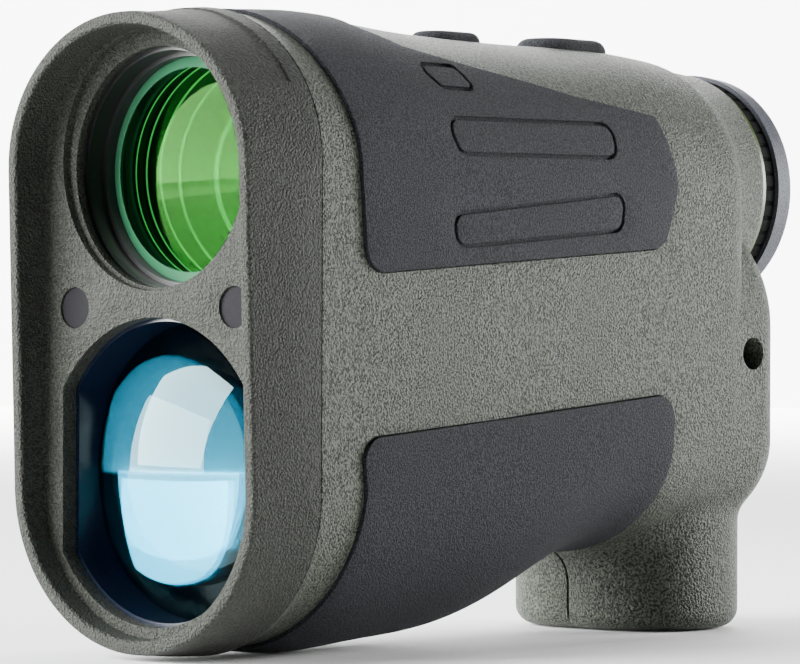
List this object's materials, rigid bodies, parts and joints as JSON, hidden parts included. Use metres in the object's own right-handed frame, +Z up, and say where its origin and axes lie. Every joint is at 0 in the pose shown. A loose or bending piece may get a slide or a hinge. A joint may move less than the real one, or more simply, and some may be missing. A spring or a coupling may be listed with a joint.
{
  "type": "laser rangefinder",
  "caption": "Handheld monocular laser rangefinder with stacked objective and receiver windows, rubber grips, top buttons and a twist eyepiece.",
  "frame": {"origin": "below the middle of the body, on the surface that the bezel and the battery foot stand on", "axes": "+Z up, the objectives face -Y, the eyepiece faces +Y, +X is the side with the lanyard hole"},
  "size_m": [0.0432, 0.1105, 0.0791],
  "materials": {
    "bezel_plastic": "grained olive polycarbonate",
    "plug_rubber": "smooth matte",
    "screw_steel": "blackened",
    "seal_rubber": "matte",
    "chassis_aluminium": "die cast",
    "black_plastic": "matte black",
    "ring_black": "satin black",
    "objective_glass": "green coated",
    "receiver_dark": "dark navy satin",
    "receiver_glass": "blue coated",
    "filter_glass": "narrow band filter",
    "sensor_can": "tin plated",
    "board_green": "solder mask",
    "prism_glass": "clear",
    "laser_brass": "turned brass",
    "display_glass": "dark display",
    "chip_black": "moulded",
    "battery_wrap": "shrink sleeve",
    "spring_steel": "plated wire",
    "neck_green": "smooth satin green",
    "grip_rubber": "sanded soft-touch rubber",
    "housing_plastic": "pebble-grained olive polycarbonate",
    "button_rubber": "sanded rubber",
    "carrier_plastic": "natural",
    "core_black": "satin black",
    "eyecup_rubber": "matte soft rubber",
    "eye_glass": "coated",
    "cap_plastic": "grained",
    "contact_brass": "gold flashed"
  },
  "bodies": {
    "housing": {"front_bezel": "bezel_plastic", "bezel_plugs": "plug_rubber", "bezel_screws": "screw_steel", "bezel_gasket": "seal_rubber", "chassis_plate": "chassis_aluminium", "objective_barrel": "black_plastic", "objective_seal": "seal_rubber", "objective_ring": "ring_black", "objective_front_lens": "objective_glass", "objective_rear_lens": "objective_glass", "receiver_frame": "receiver_dark", "receiver_lens": "receiver_glass", "receiver_cone": "black_plastic", "band_filter": "filter_glass", "photodiode": "sensor_can", "receiver_board": "board_green", "prism_holder": "chassis_aluminium", "half_penta_prism": "prism_glass", "roof_prism": "prism_glass", "laser_diode": "sensor_can", "laser_collimator": "laser_brass", "laser_lens": "prism_glass", "reticle_display": "display_glass", "field_stop": "ring_black", "main_board": "board_green", "board_components": "chip_black", "button_board": "board_green", "mode_switch": "chip_black", "fire_switch": "chip_black", "battery_tube": "black_plastic", "battery": "battery_wrap", "battery_spring": "spring_steel", "eyepiece_tube": "black_plastic", "neck_ring": "neck_green", "upper_grip": "grip_rubber", "lower_grip": "grip_rubber", "right_shell": "housing_plastic", "left_shell": "housing_plastic", "shell_screws": "screw_steel"},
    "mode_button": {"mode_button": "button_rubber", "mode_carrier": "carrier_plastic", "mode_plunger": "carrier_plastic"},
    "fire_button": {"fire_button": "button_rubber", "fire_carrier": "carrier_plastic", "fire_plunger": "carrier_plastic"},
    "diopter": {"diopter_sleeve": "black_plastic"},
    "eyecup": {"eyecup_core": "core_black", "eyecup": "eyecup_rubber"},
    "eyepiece_cell": {"eyepiece_cell": "black_plastic", "field_lens": "eye_glass", "eye_lens": "eye_glass"},
    "cap_seal": {"cap_seal": "seal_rubber"},
    "battery_cap": {"battery_cap": "cap_plastic", "cap_contact": "contact_brass"}
  },
  "joints": [
    {"name": "mode_press", "type": "slide", "parent": "housing", "child": "mode_button", "axis": [0, 0, -1], "range_m": [0, 0.0006], "stiffness_N_per_m": 1500},
    {"name": "fire_press", "type": "slide", "parent": "housing", "child": "fire_button", "axis": [0, 0, -1], "range_m": [0, 0.0006], "stiffness_N_per_m": 1500},
    {"name": "diopter_turn", "type": "hinge", "parent": "housing", "child": "diopter", "pos_m": [0, 0.052, 0.0588], "axis": [0, 1, 0], "range_deg": [-60, 60]},
    {"name": "eyecup_extend", "type": "slide", "parent": "diopter", "child": "eyecup", "axis": [0, 1, 0], "range_m": [0, 0.0032]},
    {"name": "cell_focus", "type": "slide", "parent": "housing", "child": "eyepiece_cell", "axis": [0, 1, 0], "range_m": [-0.001, 0.001]},
    {"name": "cap_pull", "type": "slide", "parent": "housing", "child": "cap_seal", "axis": [0, 0, -1], "range_m": [0, 0.0033]},
    {"name": "cap_turn", "type": "hinge", "parent": "cap_seal", "child": "battery_cap", "pos_m": [0, 0.0391, 0], "axis": [0, 0, -1], "range_deg": [0, 90]}
  ],
  "couplings": [
    {"joint": "cell_focus", "follows": "diopter_turn", "m_per_rad": 0.00095}
  ]
}
